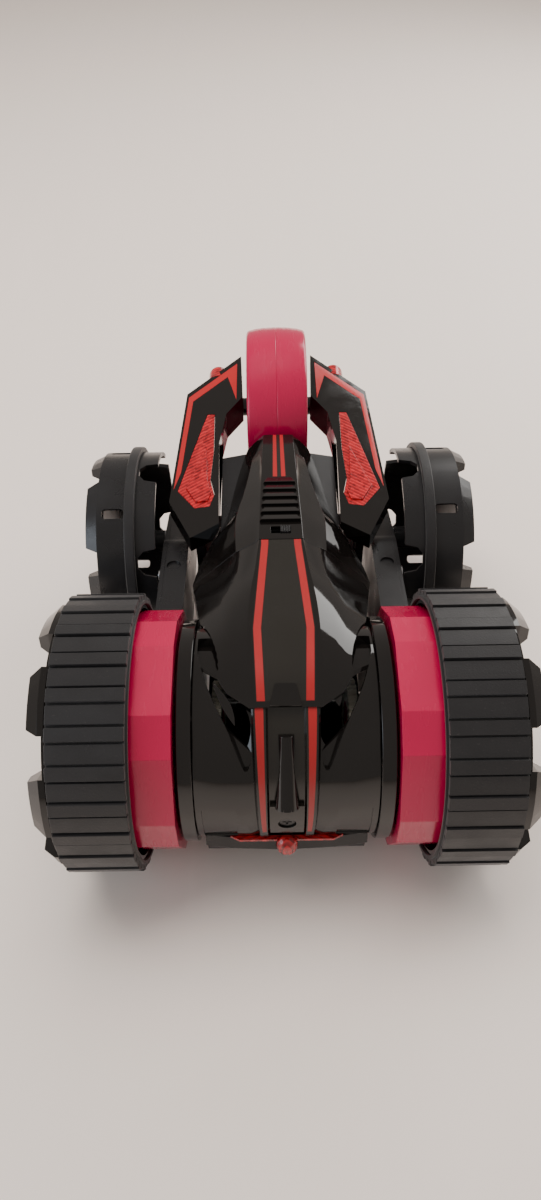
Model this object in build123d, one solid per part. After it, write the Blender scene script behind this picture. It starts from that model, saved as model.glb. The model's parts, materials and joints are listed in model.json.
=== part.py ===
from build123d import *
import os
from math import asin, cos, degrees, pi, radians, sin, sqrt

# Toy stunt car, in millimetres, +Z up.  The nose points along -Y and the tail wheel is at +Y.
# The origin is the middle of the car's footprint on the floor.
# Everything is first drawn with the front axle at y = 0, and moved to its place when written.

# ---- overall sizes ---------------------------------------------------------------------
FRONT_R = 60.0            # front tyre, over its tread bars
REAR_R = 51.3             # rear wheel, over its traction band
TAIL_R = 43.0             # tail wheel, at its crown
TAIL_REACH = 197.0        # front axle to tail wheel axle, along Y
TAIL_Z = FRONT_R + 31.5   # tail wheel axle height
ARM_LENGTH = 130.0        # front axle to rear axle, along the swing arm

# ---- stations along X, from the middle of the car -----------------------------------------
CHASSIS_HALF = 34.0       # outside of the chassis tub
DISC_X = 43.0             # outer face of the chassis side disc
DRUM_X = 44.3             # inboard face of the swing drum
ARM_X = 46.5              # inboard face of the swing arm
ARM_W = 13.0              # width of the swing arm
DRUM_W = ARM_X - DRUM_X + ARM_W + 12.5    # the swing drum also houses the final gear, beside the arm
TYRE_X = ARM_X + ARM_W + 1.5              # inboard face of the front tyre
TYRE_W = 30.0             # width of the front tyre
REAR_X = ARM_X + ARM_W + 2.5              # inboard edge of the rear wheel
REAR_W = 29.0             # width of the rear wheel barrel
LUG_OUT = 8.6             # how far the front hub lugs stand out of the tyre
REAR_LUG_OUT = 6.0        # how far the rear wheel lugs stand out of the barrel

# ---- walls, shafts and clearances ---------------------------------------------------------
WALL = 2.0                # moulded shells
RIM_WALL = 2.0            # front wheel rim
TYRE_SIDE = 4.5           # rubber thickness under the tread bars
TYRE_LIP = 1.0            # sidewall, inboard of the tread
SHAFT_R = 2.0             # steel wheel shafts
PIN_R = 1.5               # idler gear pins
RUN = 0.05                # radial clearance of a shaft that turns
GAP = 0.5                 # room between parts that move past each other
SEAM = 0.3                # room between shells of one body
TRUNNION_R = 11.0         # hollow trunnion that carries a swing arm
SCREW_R = 1.4             # self-tapping screw shank
SCREW_HEAD_R = 3.2        # screw head
SCREW_HEAD_H = 1.8

# ---- gears -------------------------------------------------------------------------------
DRIVE_TEETH = 28          # on the front axle, inside the arm
IDLER_TEETH = (35, 34, 35)
WHEEL_TEETH = 24          # on the rear axle
FINAL_TEETH = 52          # on the front axle, beside the motor
PINION_TEETH = 8
SWING_TEETH = 40          # on each trunnion, inside the chassis
SWING_PINION_TEETH = 14
MOTOR_OFFSET = 30.0       # drive motor shaft to front axle
SWING_OFFSET = 27.0       # cross shaft to front axle
GEAR_W = 4.0
ADDENDUM = 0.85           # in modules
DEDENDUM = 1.15
TOOTH_SHARE = 0.40        # tooth thickness at the pitch line, of one pitch
DRUM_R = 52.8             # swing drum, over its corners
DRUM_LOBES = 7
LOBE_WIDE = 33.0          # degrees of a wide face; a narrow one takes the rest
MOTOR_R = 8.0
MOTOR_L = 18.0

# ---- front wheels ------------------------------------------------------------------------
TREAD_BARS = 25
BAR_W = 5.4               # raised tread bar
GROOVE_W = 1.0            # groove on each side of a bar
GROOVE_DEPTH = 2.2
LAND_DROP = 0.7           # the land between bars is lower than a bar by this
LUGS = 8
LUG_SPAN = 28.0           # degrees
LUG_IN_R = 44.0
LUG_OUT_R = 56.5

# ---- rear wheels ---------------------------------------------------------------------------
BAND_X = 10.0             # traction band, from the inboard edge
BAND_W = 5.0
BAND_H = 3.0              # how far the band stands proud of the barrel
REAR_LUGS = 6
REAR_LUG_SPAN = 46.0
NOTCH_W = 15.0
NOTCH_DEPTH = 9.0
SLOT_L = 11.0
SLOT_W = 5.0

# ---- tail wheel ------------------------------------------------------------------------------
TAIL_W = 32.0
TAIL_CROWN = 1.6

# ---- body ------------------------------------------------------------------------------------
GROUND_GAP = FRONT_R - 47.0               # underside of the chassis
CHASSIS_FRONT = -36.0
CHASSIS_REAR = 136.0
DISC_R = 48.0
DECK_R = 47.0             # arc of the front deck about the front axle
DECK_HALF = 36.8          # half width of the deck
NOSE_Z = FRONT_R - 20.0   # lower edge of the deck at the nose
ROOF_Z = FRONT_R + 52.5   # top of the cockpit
SEAM_Y = 65.0             # joint between the front and the rear canopy
STEM_HALF = 13.0          # half width of the cockpit's flat top
SIDE_Z = FRONT_R + 2.0    # lower edge of the canopy sides
FAIRING_Z = FRONT_R + 32.0                # tail fairing top, at its front
FAIRING_RISE = 0.143      # how steeply it climbs towards the tail
FAIRING_FALL = 0.2        # how steeply it falls outwards
FAIRING_SKIRT = 9.0
FAIRING_IN = TAIL_W / 2 + 3.6             # inner wall of the tail fork, from the middle
WEB_HALF = 29.4           # half width of the ledge between the rear canopy and the fairings
WEB_Y = 92.0
WEB_REAR = 146.0
WEB_DROP = 3.6            # how far that ledge lies below the fairing tops
LENS_PROUD = 1.2          # raised panel on a tail lamp
DOME_R = 5.4              # round lamp at the back of a fairing
DOME_X = 32.6
DOME_Z = FRONT_R + 41.6
HUB_R = TRUNNION_R + 4.0  # bearing hub of the side disc
BUMPER_DEPTH = 2.3        # how far the bumper stands out of the deck's lower edge
BUMPER_BOW = 3.0          # how much its ends fall back
BUMPER_DROP = 21.0
NOSE_LAMP_R = 4.5
STRIP_HALF = 24.0         # half width of the light strip across the nose
STRIP_H = 1.4
DECK_END = 38.0           # where the deck ends under the cockpit, in degrees about the front axle
SCREW_ANGLE = 180.0       # the deck's screw, in degrees about the front axle
SCREW_SEAT_R = DECK_R - 2.5
BOSS_R = 5.2              # post and sleeve of the deck's screw
LOUVRES = 6
LOUVRE_Y = 78.0
LOUVRE_STEP = 5.4
LOUVRE_HALF = 8.5
LOUVRE_H = 1.3            # how far the first louvre stands out of the roof
SWITCH_L = 9.0
SWITCH_W = 4.6
SWITCH_TRAVEL = 4.0

# ---- what the chassis holds ------------------------------------------------------------------
SWING_ANGLE = -30.0       # where the cross shaft lies, seen from the front axle
DOOR_HALF = 24.0          # battery door
DOOR_Y = 62.0
DOOR_L = 62.0
DOOR_SCREW = 6.0          # from the door's rear edge to its screw
BATTERY_D = 14.2          # one rechargeable cell
BOARD_HALF = 20.0         # circuit board
BOARD_Y = -27.0
BOARD_L = 36.0
BOARD_Z = GROUND_GAP + 9.0
BRACKET_Y = 84.0          # ledges that carry the tail fairings
BRACKET_L = 40.0

# ---- places that follow from the sizes above -----------------------------------------------------
NOSE_ANGLE = 180 + degrees(asin((FRONT_R - NOSE_Z) / DECK_R))
front_axle_y = FRONT_R - (FRONT_R + TAIL_REACH + TAIL_R) / 2
arm_drop = degrees(asin((FRONT_R - REAR_R) / ARM_LENGTH))
tub_top = SIDE_Z - SEAM
tail_cheek = TAIL_W / 2 + GAP
swing_shaft = (SWING_OFFSET * cos(radians(SWING_ANGLE)),
               FRONT_R + SWING_OFFSET * sin(radians(SWING_ANGLE)))
parts = {}


def keep(name, shape):
    """Move a finished piece to its place in the car and file it under its node name."""
    parts[name] = shape.moved(Location((0, front_axle_y, 0)))


def pair(name, shape):
    """A piece of the left side, at +X, and its mirror image on the right side."""
    keep("left_" + name, shape)
    keep("right_" + name, mirror(shape, about=Plane.YZ))


def block(x0, x1, y0, y1, z0, z1):
    """A box between six planes."""
    return Pos((x0 + x1) / 2, (y0 + y1) / 2, (z0 + z1) / 2) * Box(x1 - x0, y1 - y0, z1 - z0)


def outline(points):
    """A face from corner points in the X-Y plane."""
    return make_face(Polyline(*points, close=True))


def inset(points, distance):
    """Corner points of an outline drawn the same way round, moved in by distance on every side."""
    lines = []
    area = sum(a[0] * b[1] - b[0] * a[1] for a, b in zip(points, points[1:] + points[:1]))
    turn = 1 if area > 0 else -1
    for (x0, y0), (x1, y1) in zip(points, points[1:] + points[:1]):
        length = sqrt((x1 - x0) ** 2 + (y1 - y0) ** 2)
        nx, ny = -turn * (y1 - y0) / length, turn * (x1 - x0) / length
        lines.append((nx, ny, nx * x0 + ny * y0 + distance))
    moved = []
    for (a, b, c), (d, e, f) in zip(lines[-1:] + lines[:-1], lines):
        det = a * e - b * d
        moved.append(((c * e - b * f) / det, (a * f - c * d) / det))
    return moved


def across(face, x0, x1):
    """Extrude a face drawn as (y, z) along X, from x0 to x1."""
    turned = Plane((x0, 0, 0), x_dir=(0, 1, 0), z_dir=(1, 0, 0)) * face
    return extrude(turned, x1 - x0, dir=(1, 0, 0))


def rod(radius, x0, x1, y=0.0, z=0.0):
    """A cylinder along X."""
    return across(Pos(y, z) * Circle(radius), x0, x1)


def tube(outer, inner, x0, x1, y=0.0, z=0.0):
    """A tube along X."""
    return across(Pos(y, z) * (Circle(outer) - Circle(inner)), x0, x1)


def polar(radius, angle):
    """A point at a radius and an angle in degrees."""
    return (radius * cos(radians(angle)), radius * sin(radians(angle)))


def sector(r_in, r_out, span, middle, steps=4):
    """A ring sector, as a face."""
    angles = [middle - span / 2 + span * i / steps for i in range(steps + 1)]
    outer = [polar(r_out, a) for a in angles]
    inner = [polar(r_in, a) for a in reversed(angles)]
    return outline(outer + inner)


def gear_face(teeth, module, phase):
    """A spur gear's face with straight-sided teeth; one tooth points along phase, in degrees."""
    pitch_r = teeth * module / 2
    tip_r = pitch_r + ADDENDUM * module
    root_r = pitch_r - DEDENDUM * module
    step = 360 / teeth
    half = step * TOOTH_SHARE / 2
    points = []
    for i in range(teeth):
        middle = phase + i * step
        points.append(polar(root_r, middle - half * 1.55))
        points.append(polar(tip_r, middle - half * 0.55))
        points.append(polar(tip_r, middle + half * 0.55))
        points.append(polar(root_r, middle + half * 1.55))
    return outline(points)


def next_phase(phase, teeth, next_teeth, direction=0.0):
    """The phase that puts the next gear in mesh, its centre lying along direction."""
    turned = (phase - direction) * teeth / next_teeth
    return direction + 180 - turned + 180 / next_teeth


def screw(x, y, z, length):
    """A cross-head screw that points down, its head's underside at z."""
    body = Pos(x, y, z - length / 2) * Cylinder(SCREW_R, length)
    body += Pos(x, y, z + SCREW_HEAD_H / 2) * Cylinder(SCREW_HEAD_R, SCREW_HEAD_H)
    cross = Box(SCREW_HEAD_R * 1.2, 0.9, 1.0) + Box(0.9, SCREW_HEAD_R * 1.2, 1.0)
    return body - Pos(x, y, z + SCREW_HEAD_H) * cross


# ---- front wheels ------------------------------------------------------------------------------

def front_tyre():
    """A rubber band with raised bars across its tread; one bar stands straight down."""
    step = 360 / TREAD_BARS
    bar = degrees(BAR_W / FRONT_R)
    groove = degrees(GROOVE_W / FRONT_R)
    flat_r = FRONT_R / cos(radians(bar / 2))
    land_r = FRONT_R - LAND_DROP
    low_r = FRONT_R - GROOVE_DEPTH
    points = []
    for i in range(TREAD_BARS):
        middle = -90 + i * step
        edge = bar / 2 + groove
        points.append(polar(low_r, middle - edge))
        points.append(polar(low_r, middle - bar / 2))
        points.append(polar(flat_r, middle - bar / 2))
        points.append(polar(flat_r, middle + bar / 2))
        points.append(polar(low_r, middle + bar / 2))
        points.append(polar(low_r, middle + edge))
        for share in (0.0, 0.5, 1.0):
            points.append(polar(land_r, middle + edge + (step - 2 * edge) * share))
    inner_r = FRONT_R - TYRE_SIDE
    tread = across(outline(points) - Circle(inner_r), TYRE_X, TYRE_X + TYRE_W)
    lip = tube(FRONT_R - 3.0, inner_r, TYRE_X - TYRE_LIP, TYRE_X)
    return tread + lip


def front_hub():
    """Rim, outer disc with its ring of lugs, and the boss that holds the shaft."""
    rim_r = FRONT_R - TYRE_SIDE
    outer_x = TYRE_X + TYRE_W
    disc_x = outer_x - 5.0
    hub = tube(rim_r, rim_r - RIM_WALL, TYRE_X, outer_x)
    hub += tube(rim_r - RIM_WALL, SHAFT_R, disc_x, disc_x + 3.0)
    hub += tube(8.0, SHAFT_R, disc_x - 6.0, outer_x + 2.0)
    hub += tube(LUG_OUT_R - 1.0, LUG_IN_R, outer_x, outer_x + 2.0)
    hub += tube(LUG_IN_R + 2.0, LUG_IN_R, disc_x, outer_x + 1.0)
    for i in range(LUGS):
        middle = (i + 0.5) * 360 / LUGS
        base = sector(LUG_IN_R, LUG_OUT_R, LUG_SPAN, middle)
        top = sector(LUG_IN_R + 3.5, LUG_OUT_R - 4.0, LUG_SPAN - 5.0, middle)
        hub += across(base, outer_x + 1.0, outer_x + 3.5)
        low = Plane((outer_x + 3.5, 0, 0), x_dir=(0, 1, 0), z_dir=(1, 0, 0)) * base
        high = Plane((outer_x + LUG_OUT, 0, 0), x_dir=(0, 1, 0), z_dir=(1, 0, 0)) * top
        hub += loft([low, high], ruled=True)
    return hub


# ---- rear wheels ---------------------------------------------------------------------------------

def rear_wheel():
    """An open barrel with notches in its inboard edge, slots in its wall and lugs outboard."""
    barrel_r = REAR_R - BAND_H
    inner_r = barrel_r - WALL
    outer_x = REAR_X + REAR_W
    wheel = tube(barrel_r, inner_r, REAR_X, outer_x)
    wheel += tube(inner_r, SHAFT_R, outer_x - 3.0, outer_x)
    wheel += tube(6.0, SHAFT_R, REAR_X - 1.0, outer_x)
    for i in range(REAR_LUGS):
        middle = i * 360 / REAR_LUGS
        base = sector(barrel_r - 9.0, barrel_r - 0.6, REAR_LUG_SPAN, middle, 6)
        top = sector(barrel_r - 7.0, barrel_r - 3.4, REAR_LUG_SPAN - 5.0, middle, 6)
        low = Plane((outer_x, 0, 0), x_dir=(0, 1, 0), z_dir=(1, 0, 0)) * base
        high = Plane((outer_x + REAR_LUG_OUT, 0, 0), x_dir=(0, 1, 0), z_dir=(1, 0, 0)) * top
        wheel += loft([low, high], ruled=True)
    notch_points = [(REAR_X - 1, -NOTCH_W / 2), (REAR_X + NOTCH_DEPTH - 3, -NOTCH_W / 2 + 1.5),
                    (REAR_X + NOTCH_DEPTH, -NOTCH_W / 2 + 5), (REAR_X + NOTCH_DEPTH, NOTCH_W / 2 - 5),
                    (REAR_X + NOTCH_DEPTH - 3, NOTCH_W / 2 - 1.5), (REAR_X - 1, NOTCH_W / 2)]
    notch = Pos(0, 0, inner_r - 2) * extrude(outline(notch_points), WALL + 6)
    slot_x = outer_x - 2.5 - SLOT_L / 2
    slot = Pos(slot_x, 0, inner_r - 1) * extrude(RectangleRounded(SLOT_L, SLOT_W, 1.8), WALL + 4)
    for i in range(REAR_LUGS):
        # lugs stand midway between notches, and a slot lies beside each lug's middle
        wheel -= Rot(i * 360 / REAR_LUGS + 60, 0, 0) * notch
        wheel -= Rot(i * 360 / REAR_LUGS + 30, 0, 0) * slot
    return wheel


def rear_band():
    """The rubber traction band round the barrel."""
    x0 = REAR_X + BAND_X
    return tube(REAR_R, REAR_R - BAND_H, x0, x0 + BAND_W)


# ---- gear train of one arm, drawn along +Y from the front axle ----------------------------------------

idler_sum = sum(IDLER_TEETH)
arm_module = ARM_LENGTH / (idler_sum + (DRIVE_TEETH + WHEEL_TEETH) / 2)
final_module = MOTOR_OFFSET / ((FINAL_TEETH + PINION_TEETH) / 2)
swing_module = SWING_OFFSET / ((SWING_TEETH + SWING_PINION_TEETH) / 2)
gear_x = ARM_X + (ARM_W - GEAR_W) / 2
final_x = ARM_X + ARM_W + 6.0
arm_half = max(IDLER_TEETH) * arm_module / 2 + ADDENDUM * arm_module + GAP + WALL
tip_half = WHEEL_TEETH * arm_module / 2 + ADDENDUM * arm_module + GAP + WALL
root_half = DRIVE_TEETH * arm_module / 2 + ADDENDUM * arm_module + GAP + WALL
swing_x = CHASSIS_HALF - WALL - 2 * GAP - GEAR_W


def gear_centres():
    """Distances of the train's gears from the front axle, and their tooth counts."""
    teeth = [DRIVE_TEETH] + list(IDLER_TEETH) + [WHEEL_TEETH]
    places = [0.0]
    for before, after in zip(teeth, teeth[1:]):
        places.append(places[-1] + (before + after) / 2 * arm_module)
    return list(zip(places, teeth))


def arm_outline(inset):
    """The arm's side view: round at both ends, and tall enough for the idler gears."""
    train = gear_centres()
    first, last = train[1][0], train[-2][0]
    half = arm_half - inset
    shape = Circle(root_half - inset)
    shape += Pos((first + last) / 2, 0) * Rectangle(last - first, 2 * half)
    shape += Pos(first, 0) * Circle(half)
    shape += Pos(last, 0) * Circle(half)
    end = ARM_LENGTH
    tip = tip_half - inset
    shape += Pos(end, 0) * Circle(tip)
    shape += outline([(last, -half), (end, -tip), (end, tip), (last, half)])
    shape += outline([(0, -root_half + inset), (first, -half), (first, half), (0, root_half - inset)])
    return shape


def tilt(shape):
    """Turn a piece drawn along +Y down to the line between the two axles, and lift it to the axle."""
    return Pos(0, 0, FRONT_R) * Rot(-arm_drop, 0, 0) * shape


def screw_posts():
    """Places of the screws that close the arm, between the gears and near its edges."""
    train = gear_centres()
    posts = []
    for (y0, t0), (y1, t1) in zip(train[2:], train[3:]):
        middle = y0 + t0 / (t0 + t1) * (y1 - y0)
        half = (t0 + t1) / (2 * t0) * arm_half - 4.2
        posts += [(middle, half), (middle, -half)]
    return posts


def arm_pieces():
    """The swing arm's shell, cover, gears, pins and screws, and the drum with its motor."""
    x1 = ARM_X + ARM_W
    lid = 2.0
    train = gear_centres()
    posts = screw_posts()

    shell = across(arm_outline(0), ARM_X, x1 - lid)
    shell -= across(arm_outline(WALL), ARM_X + WALL, x1)
    for y, z in posts:
        shell += rod(3.0, ARM_X, x1 - lid, y, z) & across(arm_outline(0), ARM_X, x1)
        shell -= rod(SCREW_R, ARM_X + 3.0, x1, y, z)
    shell -= rod(SHAFT_R + RUN, ARM_X - 1, x1)
    shell -= rod(SHAFT_R + RUN, ARM_X - 1, x1, ARM_LENGTH)
    recess_y = ARM_LENGTH * 0.66
    recess = Pos(ARM_X + ARM_W / 2, recess_y, arm_half) * Cylinder(3.4, 2.4)
    shell -= recess

    cover = across(arm_outline(0), x1 - lid, x1)
    cover -= rod(SHAFT_R + RUN, ARM_X, x1 + 1)
    cover -= rod(SHAFT_R + RUN, ARM_X, x1 + 1, ARM_LENGTH)
    screws = None
    for y, z in posts:
        cover -= rod(SCREW_R + 0.2, ARM_X, x1 + 1, y, z)
        one = rod(2.6, x1, x1 + 1.0, y, z) + rod(SCREW_R, ARM_X + 3.2, x1, y, z)
        one -= Pos(x1 + 1.0, y, z) * (Box(1.0, 3.2, 0.8) + Box(1.0, 0.8, 3.2))
        screws = one if screws is None else screws + one

    phase = 0.0
    gears = []
    for place, (y, teeth) in enumerate(train):
        if place:
            phase = next_phase(phase, train[place - 1][1], teeth)
        gear = across(gear_face(teeth, arm_module, phase), gear_x, gear_x + GEAR_W)
        bore = PIN_R + RUN if 0 < place < len(train) - 1 else SHAFT_R
        gears.append(Pos(0, y, 0) * (gear - rod(bore, gear_x - 1, gear_x + GEAR_W + 1)))
    for y, teeth in train[1:-1]:
        shell += rod(PIN_R, ARM_X, x1 - lid, y)
        shell += rod(PIN_R + 1.2, ARM_X, gear_x - SEAM, y)

    pair("arm_shell", tilt(shell))
    pair("arm_cover", tilt(cover))
    pair("arm_screws", tilt(screws))
    for number, gear in enumerate(gears[1:-1], 1):
        pair("idler_gear_%d" % number, tilt(gear))

    # the drum: a faceted tube with an inboard wall and a hollow trunnion
    lobe = 360 / DRUM_LOBES
    angles = []
    for i in range(DRUM_LOBES):
        start = 85.9 + arm_drop + i * lobe
        angles += [start, start + LOBE_WIDE]
    faceted = outline([polar(DRUM_R, a) for a in angles])
    inner_r = DRUM_R * cos(radians(LOBE_WIDE / 2)) - WALL
    drum_end = DRUM_X + DRUM_W
    drum = across(faceted, DRUM_X, drum_end) - rod(inner_r, ARM_X, drum_end + 1)
    drum -= block(ARM_X, x1 + SEAM, DRUM_R / 2, DRUM_R + 9, -arm_half - SEAM, arm_half + SEAM)
    drum -= rod(TRUNNION_R - 3.0, DRUM_X - 1, DRUM_X + WALL + 2)
    drum += tube(TRUNNION_R, TRUNNION_R - 3.0, swing_x, DRUM_X)
    for angle in (60, 180, 300):
        y, z = polar(inner_r - 2.0, angle)
        drum += rod(2.6, DRUM_X, drum_end - lid, y, z)
    cover = rod(inner_r - 0.1, drum_end - lid, drum_end) - rod(SHAFT_R + RUN, DRUM_X, drum_end + 1)
    motor_z = MOTOR_OFFSET
    motor = rod(MOTOR_R, ARM_X, ARM_X + MOTOR_L, 0, motor_z)
    motor += rod(3.0, ARM_X + MOTOR_L, ARM_X + MOTOR_L + 0.4, 0, motor_z)
    motor -= rod(0.8, ARM_X + 4, drum_end, 0, motor_z)
    pair("swing_drum", tilt(drum))
    pair("drum_cover", tilt(cover))
    pair("drive_motor", tilt(motor))

    # gears of the final drive, beside the arm, inside the drum
    final = across(gear_face(FINAL_TEETH, final_module, 90.0), final_x, final_x + 3.5)
    final += tube(6.0, SHAFT_R, x1 + GAP, final_x)
    final -= rod(SHAFT_R, ARM_X, drum_end)
    pinion_phase = next_phase(90.0, FINAL_TEETH, PINION_TEETH, 90.0)
    pinion = across(gear_face(PINION_TEETH, final_module, pinion_phase), final_x, final_x + 3.5)
    pinion += rod(0.75, ARM_X + 5, final_x)
    pair("motor_pinion", tilt(Pos(0, 0, motor_z) * pinion))
    pair("final_gear", tilt(final))
    pair("drive_gear", tilt(gears[0]))

    # shafts and wheels
    hub_end = TYRE_X + TYRE_W + 2.0
    pair("front_shaft", Pos(0, 0, FRONT_R) * rod(SHAFT_R, ARM_X + 0.5, hub_end))
    pair("front_hub", Pos(0, 0, FRONT_R) * front_hub())
    pair("front_tyre", Pos(0, 0, FRONT_R) * front_tyre())
    rear = Pos(0, sqrt(ARM_LENGTH ** 2 - (FRONT_R - REAR_R) ** 2), REAR_R)
    wheel_gear = Pos(0, -ARM_LENGTH, 0) * gears[-1]
    shaft = rod(SHAFT_R, ARM_X + 0.5, REAR_X + REAR_W) + Rot(-arm_drop, 0, 0) * wheel_gear
    pair("rear_shaft", rear * shaft)
    pair("rear_wheel", rear * rear_wheel())
    pair("rear_band", rear * rear_band())


# ---- chassis and what it holds ----------------------------------------------------------------------

def chassis():
    """An open tub with a battery bay in its floor and holes for the trunnions and cross shaft."""
    front, rear = CHASSIS_FRONT, CHASSIS_REAR
    side = outline([(front, GROUND_GAP + 9), (front + 9, GROUND_GAP), (rear - 6, GROUND_GAP),
                    (rear, GROUND_GAP + 8), (rear, tub_top), (front, tub_top)])
    inner = outline([(front + WALL, GROUND_GAP + 10), (front + 10, GROUND_GAP + WALL),
                     (rear - 7, GROUND_GAP + WALL), (rear - WALL, GROUND_GAP + 9),
                     (rear - WALL, tub_top + 1), (front + WALL, tub_top + 1)])
    tub = across(side, -CHASSIS_HALF, CHASSIS_HALF)
    tub -= across(inner, -CHASSIS_HALF + WALL, CHASSIS_HALF - WALL)
    tub -= rod(HUB_R + SEAM, -CHASSIS_HALF - 1, CHASSIS_HALF + 1, 0, FRONT_R)
    tub -= rod(SHAFT_R + RUN, -CHASSIS_HALF - 1, CHASSIS_HALF + 1, *swing_shaft)
    tub -= block(-DOOR_HALF, DOOR_HALF, DOOR_Y, DOOR_Y + DOOR_L, GROUND_GAP - 1, GROUND_GAP + WALL + 1)
    lid_end = DOOR_Y + DOOR_L
    floor_top = GROUND_GAP + WALL
    tub += block(-6, 6, lid_end - 9, lid_end + 5, floor_top + SEAM, floor_top + 7)
    tub += block(-6, 6, lid_end + 0.5, lid_end + 5, floor_top - 1, floor_top + 1)
    tub -= Pos(0, lid_end - DOOR_SCREW, floor_top) * Cylinder(SCREW_R, 30)
    for x in (-BOARD_HALF + 4, BOARD_HALF - 4):
        for y in (BOARD_Y + 4, BOARD_Y + BOARD_L - 4):
            tub += Pos(x, y, (GROUND_GAP + WALL + BOARD_Z) / 2) * Cylinder(3, BOARD_Z - GROUND_GAP - WALL)
    post_y = front + WALL - 0.5
    tub -= block(-BOSS_R - 1, BOSS_R + 1, front - 1, front + WALL, FRONT_R - BOSS_R - 1, 200)
    tub += block(-6, 6, post_y, post_y + 6, GROUND_GAP + 8, FRONT_R - BOSS_R - 2)
    tub += block(-6, 6, post_y + 1.5, post_y + 6, FRONT_R - BOSS_R - 2, FRONT_R + 5)
    tub -= Pos(0, front, FRONT_R) * Rot(90, 0, 0) * Cylinder(SCREW_R, 30)
    for side_x in (-1, 1):
        x0, x1 = sorted((side_x * CHASSIS_HALF, side_x * (DISC_X - 0.5)))
        tub += block(x0, x1, BRACKET_Y, BRACKET_Y + BRACKET_L, tub_top - 5, tub_top)
        x0, x1 = sorted((side_x * (CHASSIS_HALF + 4.5), side_x * (DISC_X - 0.5)))
        tub += block(x0, x1, BRACKET_Y + 16, BRACKET_Y + 30, tub_top - 5, FAIRING_Z - 5)
    return tub


def bearing_discs():
    """The round side plates of the chassis, whose hubs carry the swing arms' trunnions."""
    inner_x = DECK_HALF + SEAM
    disc = rod(DISC_R, inner_x, DISC_X) - rod(DISC_R - 5.0, inner_x + WALL, DISC_X + 1)
    disc += rod(HUB_R, CHASSIS_HALF - WALL + SEAM, DISC_X)
    disc -= rod(TRUNNION_R + RUN, 0, DISC_X + 1)
    disc = Pos(0, 0, FRONT_R) * disc
    return disc + mirror(disc, about=Plane.YZ)


def swing_drive():
    """Gears on the trunnions, the cross shaft with its pinions, and its motor and gearbox."""
    gear = across(gear_face(SWING_TEETH, swing_module, SWING_ANGLE), swing_x, swing_x + GEAR_W)
    gear -= rod(TRUNNION_R, 0, CHASSIS_HALF)
    pair("swing_gear", Pos(0, 0, FRONT_R) * gear)
    phase = next_phase(SWING_ANGLE, SWING_TEETH, SWING_PINION_TEETH, SWING_ANGLE)
    pinion = across(gear_face(SWING_PINION_TEETH, swing_module, phase), swing_x, swing_x + GEAR_W)
    pinion -= rod(SHAFT_R, 0, CHASSIS_HALF)
    pinions = pinion + mirror(pinion, about=Plane.YZ)
    y, z = swing_shaft
    keep("swing_shaft", Pos(0, y, z) * (pinions + rod(SHAFT_R, -CHASSIS_HALF, CHASSIS_HALF)))
    box = fillet(block(-13, 13, y - 11, y + 13, z - 11, z + 11).edges(), 1.5)
    box -= rod(SHAFT_R + RUN, -20, 20, y, z)
    motor = Pos(0, y + 13 + MOTOR_L / 2, z) * Rot(90, 0, 0) * Cylinder(MOTOR_R + 1, MOTOR_L)
    keep("swing_motor", box + motor)


def electrics():
    """Battery pack, its door, and the circuit board with its chips, capacitors and aerial post."""
    floor_z = GROUND_GAP + WALL + SEAM
    pack = None
    for i in range(3):
        x = (i - 1) * (BATTERY_D + SEAM)
        length = DOOR_L - 16
        y = DOOR_Y + 4 + length / 2
        cell = Pos(x, y, floor_z + 1 + BATTERY_D / 2) * Rot(90, 0, 0) * Cylinder(BATTERY_D / 2, length)
        pack = cell if pack is None else pack + cell
    keep("battery_cells", pack)
    door = block(-DOOR_HALF + SEAM, DOOR_HALF - SEAM, DOOR_Y + SEAM, DOOR_Y + DOOR_L - SEAM,
                 GROUND_GAP, GROUND_GAP + WALL)
    screw_y = DOOR_Y + DOOR_L - DOOR_SCREW
    door -= Pos(0, screw_y, GROUND_GAP) * Cylinder(SCREW_HEAD_R + 0.2, 2 * SCREW_HEAD_H)
    door -= Pos(0, screw_y, GROUND_GAP) * Cylinder(SCREW_R + 0.2, 20)
    for i in range(5):
        door -= Pos(0, DOOR_Y + 8 + 3 * i, GROUND_GAP) * Box(22, 1.2, 1.2)
    keep("battery_door", door)
    top = BOARD_Z + 1.6
    board = block(-BOARD_HALF, BOARD_HALF, BOARD_Y, BOARD_Y + BOARD_L, BOARD_Z, top)
    board += block(-7, 7, BOARD_Y + 12, BOARD_Y + 22, top, top + 1.8)
    board += block(10, 15, BOARD_Y + 6, BOARD_Y + 14, top, top + 3.5)
    for x in (-14, -8):
        board += Pos(x, BOARD_Y + 7, top + 4) * Cylinder(2.4, 8)
    board += block(-15, 2, BOARD_Y + 27, BOARD_Y + 32, top, top + 5)
    keep("circuit_board", board)


# ---- body shells -------------------------------------------------------------------------------------

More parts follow.
